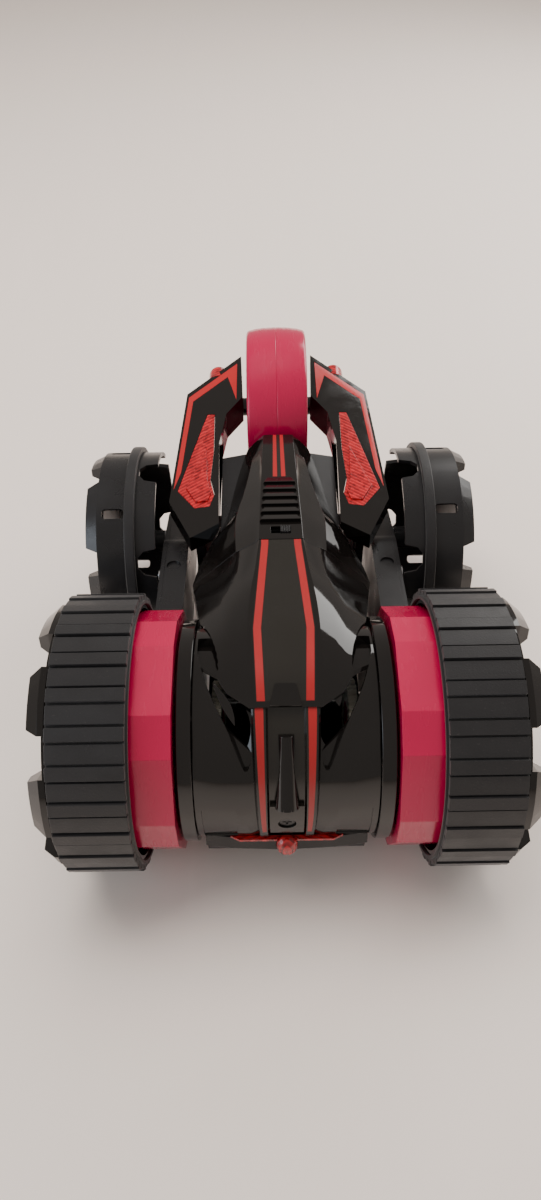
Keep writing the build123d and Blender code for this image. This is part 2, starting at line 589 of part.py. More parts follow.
def front_deck():
    """The curved front deck: a band about the front axle, from the nose up under the cockpit."""
    start, end = NOSE_ANGLE, DECK_END
    middle = (start + end) / 2
    half = (start - end) / 2
    outer = Pos(0, FRONT_R) * sector(DECK_R - WALL, DECK_R, 2 * half, middle, 30)
    deck = across(outer, -DECK_HALF, DECK_HALF)
    for side_x in (-1, 1):
        x0, x1 = sorted((side_x * (CHASSIS_HALF + SEAM), side_x * DECK_HALF))
        rib = Pos(0, FRONT_R) * sector(DECK_R - 6, DECK_R - WALL / 2, 2 * half, middle, 30)
        deck += across(rib, x0, x1)
    angle = radians(SCREW_ANGLE)
    seat = Plane((0, SCREW_SEAT_R * cos(angle), FRONT_R + SCREW_SEAT_R * sin(angle)),
                 z_dir=(0, cos(angle), sin(angle)))
    deck += seat * Pos(0, 0, -1.5) * Cylinder(BOSS_R, 8.5)
    deck -= seat * Pos(0, 0, 5) * Cylinder(SCREW_HEAD_R + 0.4, 10)
    deck -= seat * Cylinder(SCREW_R, 30)
    keep("front_deck", deck)
    lid_at = Pos(0, DOOR_Y + DOOR_L - DOOR_SCREW, GROUND_GAP + SCREW_HEAD_H) * Rot(180, 0, 0)
    lid_screw = lid_at * screw(0, 0, 0, 9.0)
    keep("body_screws", seat * screw(0, 0, 0, 11.0) + lid_screw)


def spine():
    """The half-round barrel on the deck, thickening towards the nose."""
    high, low = radians(128), radians(SCREW_ANGLE - 13.5)
    start = Vector(0, DECK_R * cos(high), FRONT_R + DECK_R * sin(high))
    end = Vector(0, DECK_R * cos(low), FRONT_R + DECK_R * sin(low))
    run = end - start
    cone = extrude(Plane(start, z_dir=run) * Circle(3.1), run.length, taper=-3.6)
    cone -= rod(DECK_R + SEAM / 2, -20, 20, 0, FRONT_R)
    return cone


def hull_section(y, stem, shoulder, edge, base_z, grow=0.0):
    """A face across the canopy: flat top, shoulder, edge and upright side, grown outwards."""
    half = [(stem[0] + grow, stem[1] + grow), (shoulder[0] + grow, shoulder[1] + grow * 0.9),
            (edge[0] + grow, edge[1] + grow * 0.7), (edge[0] + grow, base_z)]
    mirrored = [(-x, z) for x, z in reversed(half)]
    return Plane((0, y, 0), x_dir=(1, 0, 0), z_dir=(0, -1, 0)) * outline(half + mirrored)


def hull(sections, grow=0.0, cut=0.0):
    """A solid through sections, each ((y, stem, shoulder, edge), base), its walls grown outwards."""
    faces = [hull_section(y, stem, shoulder, edge, SIDE_Z - cut, grow)
             for y, stem, shoulder, edge in sections]
    return loft(faces, ruled=True)


def canopy_sections():
    """Sections of the front and rear canopies, from the windscreen to the tail."""
    top = ROOF_Z
    half = STEM_HALF
    front = [(-19.0, (half - 4, top - 8.6), (half - 2, top - 8.8), (half, top - 9.0)),
             (-14.0, (half, top - 5.8), (22.0, top - 6.4), (26.4, top - 6.9)),
             (-6.0, (half, top - 3.0), (24.0, top - 4.0), (27.6, top - 5.2)),
             (10.0, (half, top - 0.5), (25.0, top - 2.5), (31.0, top - 6.1)),
             (26.0, (half, top), (26.0, top - 5.5), (35.3, top - 12.5)),
             (45.0, (half - 1, top), (26.0, top - 9.0), (38.5, top - 19.5)),
             (SEAM_Y, (half - 2.5, top), (26.5, top - 12.5), (42.0, top - 29.5))]
    rear = [(SEAM_Y, (half - 2.5, top), (26.5, top - 12.5), (42.0, top - 29.5)),
            (80.0, (half - 3, top - 0.5), (25.5, top - 12.5), (40.0, top - 32.5)),
            (105.0, (half - 4, top - 1.2), (21.5, top - 11.5), (30.0, top - 29.0)),
            (130.0, (half - 4.5, top - 2.6), (16.0, top - 7.4), (21.5, top - 18.0)),
            (149.0, (half - 5.5, top - 4.4), (11.2, top - 8.0), (16.0, top - 14.0)),
            (151.0, (half - 7.0, top - 6.6), (9.5, top - 9.4), (14.4, top - 15.0))]
    return front, rear


def canopies():
    """The cockpit shell and the louvred rear shell behind it."""
    front_sections, rear_sections = canopy_sections()
    front = hull(front_sections) - hull(front_sections, -WALL, 2.0)
    front -= block(-60, 60, SEAM_Y - SEAM / 2, SEAM_Y + 5, 0, 200)
    front -= rod(DECK_R + SEAM / 2, -60, 60, 0, FRONT_R)
    front -= rod(DISC_R + SEAM, DECK_HALF, 60, 0, FRONT_R) + rod(DISC_R + SEAM, -60, -DECK_HALF, 0, FRONT_R)
    pieces = front.solids().sort_by(SortBy.VOLUME)
    keep("canopy_front", pieces[-1])

    rear = hull(rear_sections) - hull(rear_sections[:-1], -WALL, 2.0)
    brim = block(-CHASSIS_HALF, CHASSIS_HALF, WEB_Y, CHASSIS_REAR, SIDE_Z, SIDE_Z + WALL)
    web = fairing_slab([(0, WEB_Y), (WEB_HALF, WEB_Y), (WEB_HALF, WEB_REAR), (0, WEB_REAR)],
                       -WEB_DROP, -WEB_DROP - WALL)
    web += mirror(web, about=Plane.YZ)
    rear += (brim + web) - hull(rear_sections[:-1], -WALL / 2, 2.0)
    rear -= block(-60, 60, SEAM_Y - 5, SEAM_Y + SEAM / 2, 0, 200)
    window_y = SEAM_Y + 6.5
    for i in range(LOUVRES):
        y0 = LOUVRE_Y + i * LOUVRE_STEP
        y1 = y0 + LOUVRE_STEP - 1.2
        top = ROOF_Z + LOUVRE_H - i * 0.25
        slat = outline([(y0, ROOF_Z - 3), (y0, top), (y1, top - 1), (y1, ROOF_Z - 3)])
        rear += across(slat, -LOUVRE_HALF, LOUVRE_HALF)
    rear -= block(-SWITCH_L / 2, SWITCH_L / 2, window_y - SWITCH_W / 2, window_y + SWITCH_W / 2,
                  ROOF_Z - 12, ROOF_Z + 12)
    keep("canopy_rear", rear)

    seat = ROOF_Z - WALL - 3 * SEAM
    housing = block(-8, 8, window_y - 4.5, window_y + 4.5, seat - 6, seat)
    housing -= block(-SWITCH_L / 2, SWITCH_L / 2, window_y - SWITCH_W / 2, window_y + SWITCH_W / 2,
                     seat - 4, seat + 1)
    keep("switch_body", housing)
    knob_l = SWITCH_L - SWITCH_TRAVEL - 2 * SEAM
    x1 = SWITCH_L / 2 - SEAM
    knob = block(x1 - knob_l, x1, window_y - SWITCH_W / 2 + SEAM, window_y + SWITCH_W / 2 - SEAM,
                 seat - 4 + SEAM, ROOF_Z + 0.5)
    for i in range(3):
        x = x1 - knob_l * (i + 1) / 4
        knob -= Pos(x, window_y, ROOF_Z + 0.5) * Box(0.45, SWITCH_W, 1.0)
    keep("switch_knob", knob)


def fairing_plane(lift):
    """A plane parallel to the fairing's top, lifted square to the floor."""
    normal = Vector(FAIRING_FALL, -FAIRING_RISE, 1)
    return Plane((20.0, 85.0, FAIRING_Z + lift), z_dir=normal)


def fairing_slab(points, top, bottom):
    """A prism with upright sides between two planes parallel to the fairing's top."""
    prism = extrude(outline(points), 260)
    prism = split(prism, fairing_plane(top), keep=Keep.BOTTOM)
    return split(prism, fairing_plane(bottom), keep=Keep.TOP)


def fairings():
    """The tail fairings, which are also the fork of the tail wheel, with their lamps."""
    tail_y, tail_z = TAIL_REACH, TAIL_Z
    notch_y = 153.0
    points = [(FAIRING_IN, tail_y + 21), (49.7, tail_y - 2), (56.0, 118.0), (44.2, 92.4), (30.0, 98.5),
              (30.9, notch_y), (27.3, tail_y - 23), (FAIRING_IN - 1.1, tail_y - 12)]
    shell = fairing_slab(points, 0, -FAIRING_SKIRT)
    shell -= fairing_slab(inset(points, WALL), -WALL, -FAIRING_SKIRT - 2)
    # the inner wall is deeper than the skirt, and carries the tail wheel's axle
    wall = [(30.9, notch_y), (27.3, tail_y - 23), (FAIRING_IN - 1.1, tail_y - 12),
            (FAIRING_IN - 0.2, tail_y + 16), (FAIRING_IN + WALL, tail_y + 16),
            (FAIRING_IN + WALL - 0.9, tail_y - 11), (28.9, tail_y - 21.8), (30.9 + WALL, notch_y)]
    shell += fairing_slab(wall, -WALL / 2, -FAIRING_SKIRT - 7)
    shell += rod(5.0, tail_cheek, FAIRING_IN + 6, tail_y, tail_z)
    shell -= rod(SHAFT_R, 0, FAIRING_IN + 5, tail_y, tail_z)
    shell -= hull(canopy_sections()[1], SEAM, 2.0)
    lens = [(33.6, 175.3), (37.8, 176.0), (40.0, 168.5), (52.0, 124.3), (42.7, 110.9), (34.8, 110.5),
            (32.6, 117.8), (34.8, 128.0), (33.5, 148.0)]
    crest = [(37.5, 150.0), (47.5, 124.5), (42.0, 114.0), (36.0, 113.5), (34.4, 118.5), (36.5, 127.5)]
    shell -= fairing_slab(lens, 5, -WALL - 1)
    lamp = fairing_slab(inset(lens, SEAM / 2), 0, -WALL)
    lamp += fairing_slab(crest, LENS_PROUD, -WALL / 2)
    dome_l = 7.4
    dome_at = Pos(DOME_X, tail_y + 12, DOME_Z) * Rot(90, 0, 0)
    dome = dome_at * (Cylinder(DOME_R, dome_l) + Pos(0, 0, -dome_l / 2) * Sphere(DOME_R))
    shell -= dome_at * Pos(0, 0, -10) * Cylinder(DOME_R + SEAM, dome_l + 20 + SEAM)
    pair("tail_fairing", shell)
    keep("tail_lamps", lamp + mirror(lamp, about=Plane.YZ))
    keep("dome_lamps", dome + mirror(dome, about=Plane.YZ))


def tail_wheel():
    """Two moulded cups that meet in the middle, on a steel axle between the fairings."""
    half = TAIL_W / 2
    edge_r = TAIL_R - TAIL_CROWN
    profile = outline([(0, SHAFT_R + RUN), (0, 5.5), (2.0, 5.5), (half - 4, 5.5), (half - 4, edge_r - 5),
                       (half - 6, TAIL_R - 3.2), (0, TAIL_R - 2.6), (0, TAIL_R), (half * 0.4, TAIL_R - 0.25),
                       (half * 0.75, TAIL_R - 0.9), (half - 1.0, edge_r), (half, edge_r - 1.0),
                       (half, edge_r - 4.0), (half - 2, edge_r - 6), (half - 2, 7.0), (half, 7.0),
                       (half, SHAFT_R + RUN)])
    cup = Pos(0, TAIL_REACH, TAIL_Z) * revolve(profile, Axis.X, 360)
    other = mirror(cup, about=Plane.YZ)
    keep("tail_wheel", Compound([cup, other]))
    keep("tail_axle", rod(SHAFT_R, -FAIRING_IN - 5, FAIRING_IN + 5, TAIL_REACH, TAIL_Z))


def bumper_section(x):
    """The bumper's side view at a station across the car; it falls back towards its ends."""
    y0 = DECK_R * cos(radians(NOSE_ANGLE)) + BUMPER_BOW * (x / DECK_HALF) ** 2
    back = CHASSIS_FRONT - SEAM
    top = NOSE_Z - STRIP_H - 2 * SEAM
    points = [(y0, top), (y0 - BUMPER_DEPTH, NOSE_Z - 7), (y0 + 2, NOSE_Z - 15),
              (back - 0.4, NOSE_Z - BUMPER_DROP), (back, NOSE_Z - BUMPER_DROP), (back, top)]
    return Plane((x, 0, 0), x_dir=(0, 1, 0), z_dir=(1, 0, 0)) * outline(points)


def nose():
    """The bumper, and the light strip above it with a round lamp in its middle."""
    y0 = DECK_R * cos(radians(NOSE_ANGLE))
    end = DECK_HALF - WALL
    bumper = loft([bumper_section(x) for x in (-end, -end * 0.6, 0, end * 0.6, end)], ruled=True)
    lamp_at = Pos(0, y0 - 2, NOSE_Z - 1.5)
    bumper -= lamp_at * Cylinder(NOSE_LAMP_R + SEAM, 8)
    plan = outline([(-STRIP_HALF, y0 + 1), (-STRIP_HALF + 4, y0 - 1), (STRIP_HALF - 4, y0 - 1),
                    (STRIP_HALF, y0 + 1)])
    strip = Pos(0, 0, NOSE_Z - SEAM - STRIP_H) * extrude(plan, STRIP_H)
    dome = lamp_at * (Pos(0, 0, -0.6) * Cylinder(NOSE_LAMP_R, 3) + Pos(0, 0, 0.9) * Sphere(NOSE_LAMP_R))
    dome -= block(-10, 10, -80, 0, NOSE_Z - 20, NOSE_Z - 3.5)
    # its back is flat and touches the deck's arc from outside
    angle = radians(NOSE_ANGLE - 2)
    clear = DECK_R + SEAM
    flat = Plane((0, clear * cos(angle), FRONT_R + clear * sin(angle)), z_dir=(0, cos(angle), sin(angle)))
    dome = split(dome, flat, keep=Keep.TOP)
    keep("front_bumper", bumper)
    keep("nose_lamp", strip + dome)


arm_pieces()
keep("chassis", chassis())
keep("bearing_discs", bearing_discs())
swing_drive()
electrics()
front_deck()
keep("deck_spine", spine())
canopies()
fairings()
tail_wheel()
nose()

os.makedirs("parts", exist_ok=True)
for name, shape in parts.items():
    export_step(shape, "parts/" + name + ".step")
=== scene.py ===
"""Looks of a toy stunt car: finished shells, wheels, lamps, stickers and the stage, around the CAD frame."""
import json
from math import asin, cos, degrees, pi, radians, sin

import bmesh
import bpy
from bpy.props import FloatProperty, FloatVectorProperty, PointerProperty
from mathutils import Matrix, Vector


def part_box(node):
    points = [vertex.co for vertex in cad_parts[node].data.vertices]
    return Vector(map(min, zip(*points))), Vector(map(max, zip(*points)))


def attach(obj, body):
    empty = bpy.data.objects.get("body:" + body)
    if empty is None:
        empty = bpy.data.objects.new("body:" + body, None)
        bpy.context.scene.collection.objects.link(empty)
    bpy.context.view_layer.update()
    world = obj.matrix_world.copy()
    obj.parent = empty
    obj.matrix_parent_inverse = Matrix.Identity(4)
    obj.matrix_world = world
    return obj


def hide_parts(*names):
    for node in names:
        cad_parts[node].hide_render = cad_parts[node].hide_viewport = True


bl_info = {
    "name": "Stunt car finish",
    "version": (1, 0, 0),
    "blender": (4, 5, 0),
    "location": "View3D > Sidebar > Stunt car",
    "description": "Finishes the shells, wheels, lamps and stickers of a toy stunt car",
    "category": "Object",
}

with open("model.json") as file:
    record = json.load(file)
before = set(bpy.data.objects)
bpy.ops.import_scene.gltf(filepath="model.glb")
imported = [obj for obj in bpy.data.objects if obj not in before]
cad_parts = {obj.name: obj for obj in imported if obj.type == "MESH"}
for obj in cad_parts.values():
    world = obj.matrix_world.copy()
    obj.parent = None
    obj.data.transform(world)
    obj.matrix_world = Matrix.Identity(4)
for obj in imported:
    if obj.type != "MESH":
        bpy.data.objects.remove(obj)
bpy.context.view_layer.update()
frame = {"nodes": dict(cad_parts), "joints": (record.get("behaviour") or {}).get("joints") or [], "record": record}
NODES = frame["nodes"]
BODY_OF = {node: body for body, nodes in frame["record"]["behaviour"]["bodies"].items() for node in nodes}
SLOT_OF = {row["node"]: row["material_slot"] for row in frame["record"]["subparts"]}
JOINT_AT = {joint["name"]: joint.get("pos_m") for joint in frame["joints"]}
SIDES = (("left", 1), ("right", -1))
MM = 0.001

FRONT_AXLE = Vector((0, *JOINT_AT["left_front_wheel_spin"][1:]))
TAIL_AXLE = Vector((0, *JOINT_AT["tail_wheel_spin"][1:]))
DECK_R = 47.0         # arc of the front deck about the front axle
NOSE_ANGLE = 180 + degrees(asin((FRONT_AXLE.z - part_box("front_deck")[0].z) / MM / DECK_R))
ROOF_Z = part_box("canopy_front")[1].z / MM


def at(x, y, z):
    """A point in metres, from millimetres measured from the middle of the front axle's line on the floor."""
    return Vector((x * MM, FRONT_AXLE.y + y * MM, z * MM))


def on_deck(x, angle, radius):
    """A point about the front axle: angle in degrees from the tail direction upwards."""
    turn = radians(angle)
    return FRONT_AXLE + Vector((x, radius * cos(turn), radius * sin(turn))) * MM


# ---- shader arithmetic ---------------------------------------------------------------------

class Value:
    """A shader socket that takes part in arithmetic; every operator adds a Math node."""

    def __init__(self, paint, socket):
        self.paint = paint
        self.socket = socket

    def math(self, operation, *others):
        links = {place: other for place, other in enumerate((self, *others))}
        return self.paint.add("ShaderNodeMath", {"operation": operation}, links)

    def __add__(self, other):
        return self.math("ADD", other)

    def __sub__(self, other):
        return self.math("SUBTRACT", other)

    def __rsub__(self, other):
        return self.math("MULTIPLY", -1) + other

    def __mul__(self, other):
        return self.math("MULTIPLY", other)

    def __truediv__(self, other):
        return self.math("DIVIDE", other)

    __radd__ = __add__
    __rmul__ = __mul__

    def abs(self):
        return self.math("ABSOLUTE")

    def max(self, other):
        return self.math("MAXIMUM", other)

    def min(self, other):
        return self.math("MINIMUM", other)

    def fade(self, low, high, start=0.0, end=1.0, curve="SMOOTHSTEP"):
        """Run from start to end as this value runs from low to high."""
        links = {"Value": self, "From Min": low, "From Max": high, "To Min": start, "To Max": end}
        return self.paint.add("ShaderNodeMapRange", {"interpolation_type": curve}, links)


class Paint:
    """A material under construction."""

    def __init__(self, name):
        self.material = bpy.data.materials.new(name)
        self.material.use_nodes = True
        self.tree = self.material.node_tree
        self.shader = self.tree.nodes["Principled BSDF"]
        place = self.add("ShaderNodeTexCoord", {}, {}, None)
        self.place = Value(self, place.outputs["Object"])
        split = self.add("ShaderNodeSeparateXYZ", {}, {0: self.place}, None)
        self.x, self.y, self.z = [Value(self, socket) for socket in split.outputs]

    def add(self, kind, settings, links, output=0):
        """Add a node: its settings first, then values or links into its sockets."""
        node = self.tree.nodes.new(kind)
        for key, value in settings.items():
            setattr(node, key, value)
        for key, value in links.items():
            socket = node.inputs[key]
            if isinstance(value, Value):
                self.tree.links.new(value.socket, socket)
            else:
                socket.default_value = value
        return node if output is None else Value(self, node.outputs[output])

    def noise(self, scale, detail=3.0, roughness=0.5, stretch=(1, 1, 1)):
        """Soft noise over the piece, from 0 to 1; scale is in cells per metre."""
        place = self.add("ShaderNodeVectorMath", {"operation": "MULTIPLY"}, {0: self.place, 1: stretch})
        return self.add("ShaderNodeTexNoise", {}, {"Vector": place, "Scale": scale, "Detail": detail,
                                                   "Roughness": roughness})

    def facets(self, scale, seed=0.0):
        """Flat cells, each with its own number from 0 to 1."""
        place = self.add("ShaderNodeVectorMath", {"operation": "ADD"}, {0: self.place, 1: (seed,) * 3})
        cells = self.add("ShaderNodeTexVoronoi", {}, {"Vector": place, "Scale": scale}, 1)
        return self.add("ShaderNodeSeparateXYZ", {}, {0: cells})

    def mix(self, factor, first, second):
        """Mix two colours, each a tuple or a link."""
        node = self.tree.nodes.new("ShaderNodeMix")
        node.data_type = "RGBA"
        for index, value in ((0, factor), (6, first), (7, second)):
            if isinstance(value, Value):
                self.tree.links.new(value.socket, node.inputs[index])
            else:
                node.inputs[index].default_value = (*value[:3], 1) if index else value
        return Value(self, node.outputs[2])

    def set(self, **sockets):
        """Set shader sockets, named with underscores for spaces, to values or links."""
        for name, value in sockets.items():
            socket = self.shader.inputs[name.replace("_", " ")]
            if isinstance(value, Value):
                self.tree.links.new(value.socket, socket)
            else:
                socket.default_value = (*value[:3], 1) if isinstance(value, tuple) else value
        return self

    def feeds(self, name):
        """What a shader socket is linked to."""
        return Value(self, self.shader.inputs[name].links[0].from_socket)

    def bump(self, height, depth, strength=1.0):
        """Feed a height from 0 to 1 to the normal, depth metres deep."""
        normal = self.add("ShaderNodeBump", {}, {"Height": height, "Distance": depth, "Strength": strength})
        return self.set(Normal=normal)


FINISHES = {}


def finish_named(maker, *values):
    """The material that a maker function gives, made once."""
    key = (maker.__name__, *values)
    if key not in FINISHES:
        FINISHES[key] = maker(*values).material
    return FINISHES[key]


def moulded(name, colour, roughness, spread=0.06, grain=900.0, depth=0.00002, **constants):
    """A moulded material with faint colour and gloss variation and a fine surface grain."""
    paint = Paint(name)
    cloud = paint.noise(45.0, 4.0)
    light = tuple(min(1.0, c * 1.35 + 0.003) for c in colour)
    paint.set(Base_Color=paint.mix(cloud, colour, light))
    paint.set(Roughness=cloud.fade(0.3, 0.7, roughness - spread, roughness + spread), **constants)
    return paint.bump(paint.noise(grain, 3.0, 0.6), depth)


def gloss_black(name="piano black"):
    """Polished black shell: dark, mirror-like, with faint dust and handling haze."""
    look = bpy.context.scene.car_finish
    paint = Paint(name)
    haze = paint.noise(38.0, 5.0, 0.62)
    dust = paint.noise(2400.0, 2.0, 0.5).fade(0.72, 0.82)
    dark = tuple(look.shell_colour)
    colour = paint.mix(haze, dark, tuple(c * 1.8 for c in dark))
    paint.set(Base_Color=paint.mix(dust * 0.18, colour, (0.14, 0.13, 0.12)))
    paint.set(Roughness=haze.fade(0.35, 0.75, 0.04, 0.11) + dust * 0.2, IOR=1.53)
    return paint.bump(paint.noise(140.0, 2.0), 0.00003)


def striped(name, middle, half_width, ahead):
    """The polished shell with its dark sticker and two red stripes, where the functions say."""
    look = bpy.context.scene.car_finish
    paint = gloss_black(name)
    haze = paint.noise(70.0, 4.0)
    x = paint.x.abs() / MM
    y = (paint.y - FRONT_AXLE.y) / MM
    z = (paint.z - FRONT_AXLE.z) / MM
    line = middle(paint, y, z)
    half = half_width(paint, y, z)
    mask = ahead(paint, y, z)
    red = (x - line).abs() - half
    red = red.fade(-0.12, 0.12, 1.0, 0.0) * mask
    panel = (x - line - half).fade(0.2, 0.45, 1.0, 0.0) * mask
    dark = tuple(look.sticker_colour)
    sheet = paint.mix(haze, dark, tuple(c * 1.3 for c in dark))
    stripe = tuple(look.stripe_colour)
    crimson = paint.mix(haze, stripe, tuple(c * 0.82 for c in stripe))
    colour = paint.mix(panel, paint.feeds("Base Color"), sheet)
    paint.set(Base_Color=paint.mix(red, colour, crimson))
    return paint.set(Roughness=paint.feeds("Roughness") + panel * 0.16 + red * 0.12)


def cockpit_black():
    """Stripes that run from the windscreen, out to the kink, and in again to the seam."""
    def middle(paint, y, z):
        return 9.6 + y.fade(-20, 13, 0, 1.3, "LINEAR") - y.fade(13, 62, 0, 3.55, "LINEAR")

    def half_width(paint, y, z):
        return y.fade(-20, 60, 1.6, 1.55, "LINEAR")

    def ahead(paint, y, z):
        return z.fade(36.0, 38.0) * y.fade(-18.5, -18.0)
    return striped("piano black, cockpit", middle, half_width, ahead)


def deck_black():
    """Stripes that run down the two rails of the deck, narrowing to the nose."""
    def turn(paint, y, z):
        return z.math("ARCTAN2", y * -1)

    def middle(paint, y, z):
        return turn(paint, y, z).fade(-0.2, 1.15, 9.25, 10.5, "LINEAR")

    def half_width(paint, y, z):
        return turn(paint, y, z).fade(-0.2, 1.15, 0.85, 1.7, "LINEAR")

    def ahead(paint, y, z):
        return turn(paint, y, z).fade(-0.19, -0.18)
    return striped("piano black, deck", middle, half_width, ahead)


def spine_black():
    """Two thin stripes over the back of the rear shell."""
    def middle(paint, y, z):
        return y.fade(100, 150, 2.1, 1.7, "LINEAR")

    def half_width(paint, y, z):
        return y.fade(100, 150, 1.1, 0.8, "LINEAR")

    def ahead(paint, y, z):
        return y.fade(110.5, 111.0) * z.fade(45.0, 46.0)
    return striped("piano black, tail", middle, half_width, ahead)


def sticker_red():
    look = bpy.context.scene.car_finish
    return moulded("sticker red", tuple(look.stripe_colour), 0.16, 0.05, 500.0, 0.00001)


def satin_black():
    """Black moulded plastic with a fine spark-eroded texture and pale rubbed dust."""
    paint = moulded("satin black", (0.0085, 0.0085, 0.0095), 0.32, 0.07, 1500.0, 0.00004)
    dust = paint.noise(1900.0, 2.0).fade(0.68, 0.8) * 0.25
    return paint.set(Base_Color=paint.mix(dust, paint.feeds("Base Color"), (0.16, 0.15, 0.14)))


def rubber():
    """Soft black rubber: matt, dusty on its high places."""
    paint = Paint("rubber")
    cloud = paint.noise(60.0, 5.0, 0.6)
    speck = paint.noise(1300.0, 3.0, 0.6)
    colour = paint.mix(cloud, (0.010, 0.010, 0.0112), (0.021, 0.0205, 0.0215))
    dust = speck.fade(0.62, 0.78) * 0.2
    paint.set(Base_Color=paint.mix(dust, colour, (0.13, 0.12, 0.115)))
    paint.set(Roughness=cloud.fade(0.3, 0.7, 0.42, 0.58), Sheen_Weight=0.12, Sheen_Roughness=0.4)
    return paint.bump(speck, 0.00012, 0.8)


def crimson():
    """Glossy crimson plastic with faint flow marks."""
    look = bpy.context.scene.car_finish
    base = tuple(look.crimson_colour)
    paint = Paint("crimson")
    cloud = paint.noise(30.0, 4.0)
    flow = paint.noise(90.0, 2.0, 0.5, (3.0, 0.6, 0.6))
    paint.set(Base_Color=paint.mix(cloud, base, tuple(c * 0.82 for c in base)))
    paint.set(Roughness=flow.fade(0.3, 0.7, 0.2, 0.3), Coat_Weight=0.25, Coat_Roughness=0.12)
    return paint.bump(paint.noise(1100.0, 3.0), 0.000015)


def red_lens():
    """Clear red plastic over a faceted reflector: the facet relief gives the bump, and the same pattern paints
    brighter and darker facets as painted reflections, with a faint painted glow.
    """
    paint = Paint("red lens")
    cells = paint.facets(420.0)
    ridge = (paint.y / MM * 0.45 + paint.x.abs() / MM * 0.2).math("FRACT").fade(0.15, 0.85)
    # the reflector's facet and ridge relief, which also drives the painted reflections and the painted glow below
    relief_and_painted_glow = cells * 0.5 + ridge * 0.5
    # painted reflection: facets painted bright and dark red in the lens colour
    colour = paint.mix(relief_and_painted_glow, (0.10, 0.001, 0.003), (0.62, 0.012, 0.02))
    paint.set(Base_Color=colour, Roughness=relief_and_painted_glow.fade(0.2, 0.8, 0.06, 0.18))
    paint.set(Coat_Weight=0.6, Coat_Roughness=0.03, IOR=1.5)
    # painted glow: a faint emission in the same facet pattern
    paint.set(Emission_Color=paint.mix(relief_and_painted_glow, (0.12, 0.0, 0.0), (0.9, 0.05, 0.04)), Emission_Strength=0.05)
    return paint.bump(relief_and_painted_glow, 0.0006, 0.7)


def steel():
    return moulded("zinc plated steel", (0.52, 0.53, 0.55), 0.3, 0.08, 1400.0, 0.00001, Metallic=1.0)


def brass():
    return moulded("turned brass", (0.68, 0.47, 0.2), 0.25, 0.06, 1400.0, 0.00001, Metallic=1.0)


def motor_can():
    return moulded("motor can", (0.55, 0.55, 0.56), 0.38, 0.08, 1000.0, 0.00002, Metallic=1.0)


def nylon():
    return moulded("natural nylon", (0.72, 0.7, 0.62), 0.45, 0.06, 900.0, 0.00002)


def battery_wrap():
    """Shrink sleeve: blue, with a paler band near each cell's end."""
    paint = moulded("battery sleeve", (0.03, 0.14, 0.42), 0.22, 0.05, 700.0, 0.00001)
    band = (paint.x.abs() / MM - 12.0).abs().fade(1.2, 1.5, 1.0, 0.0)
    return paint.set(Base_Color=paint.mix(band, paint.feeds("Base Color"), (0.7, 0.7, 0.68)))


def circuit_green():
    """Solder mask with paler copper tracks under it."""
    paint = moulded("solder mask", (0.01, 0.12, 0.045), 0.25, 0.05, 900.0, 0.00001)
    across = (paint.x / MM * 0.8).math("FRACT")
    along = (paint.y / MM * 0.4).math("FRACT")
    track = across.fade(0.42, 0.5) * along.fade(0.3, 0.35)
    return paint.set(Base_Color=paint.mix(track, paint.feeds("Base Color"), (0.04, 0.3, 0.12)))


MAKERS = {"gloss_black": gloss_black, "satin_black": satin_black, "rubber": rubber, "red_plastic": crimson,
          "red_lens": red_lens, "nylon": nylon, "brass": brass, "steel": steel, "motor_can": motor_can,
          "battery_wrap": battery_wrap, "circuit_green": circuit_green}


# ---- modelling by hand ---------------------------------------------------------------------

def deselect():
    """Leave edit mode, with nothing selected."""
    if bpy.context.mode != "OBJECT":
        bpy.ops.object.mode_set(mode="OBJECT")
    bpy.ops.object.select_all(action="DESELECT")


def take(piece):
    """Select one object, and make it the active one."""
    deselect()
    piece.select_set(True)
    bpy.context.view_layer.objects.active = piece
    return piece


def edit(piece):
    """Take a piece into edit mode, all selected."""
    take(piece)
    bpy.ops.object.mode_set(mode="EDIT")
    bpy.ops.mesh.select_all(action="SELECT")
    return bmesh.from_edit_mesh(piece.data)


def apply(piece, kind, **settings):
    """Add a modifier and apply it."""
    take(piece)
    modifier = piece.modifiers.new(kind.title(), kind)
    for key, value in settings.items():
        setattr(modifier, key, value)
    bpy.ops.object.modifier_apply(modifier=modifier.name)
    return piece


def chain(name, points):
    """A new mesh: one vertex, extruded on through the points."""
    deselect()
    bpy.ops.mesh.primitive_plane_add(size=MM, location=points[0])
    piece = bpy.context.object
    piece.name = name
    bpy.ops.object.transform_apply()
    bpy.ops.object.mode_set(mode="EDIT")
    bpy.ops.mesh.merge(type="CENTER")
    for start, end in zip(points, points[1:]):
        bpy.ops.mesh.extrude_vertices_move(TRANSFORM_OT_translate={"value": end - start})
    bpy.ops.mesh.select_all(action="SELECT")
    return piece


def skin(name, rows, closed=False):
    """A sheet of faces: the first row of points, extruded on through the other rows."""
    piece = chain(name, rows[0])
    if closed:
        bpy.ops.mesh.edge_face_add()
        bpy.ops.mesh.delete(type="ONLY_FACE")
        bpy.ops.mesh.select_all(action="SELECT")
    for before, row in zip(rows, rows[1:]):
        bpy.ops.mesh.extrude_edges_move(TRANSFORM_OT_translate={"value": (0, 0, 0)})
        mesh = bmesh.from_edit_mesh(piece.data)
        moved = [vertex for vertex in mesh.verts if vertex.select]
        for old, new in zip(before, row):
            vertex = min(moved, key=lambda v: (v.co - old).length_squared)
            moved.remove(vertex)
            vertex.co = new
        bmesh.update_edit_mesh(piece.data)
    bpy.ops.object.mode_set(mode="OBJECT")
    return outwards(piece)


def outwards(piece):
    """Merge doubles and point the faces outwards."""
    edit(piece)
    bpy.ops.mesh.remove_doubles(threshold=0.000002)
    bpy.ops.mesh.normals_make_consistent(inside=False)
    bpy.ops.object.mode_set(mode="OBJECT")
    return piece


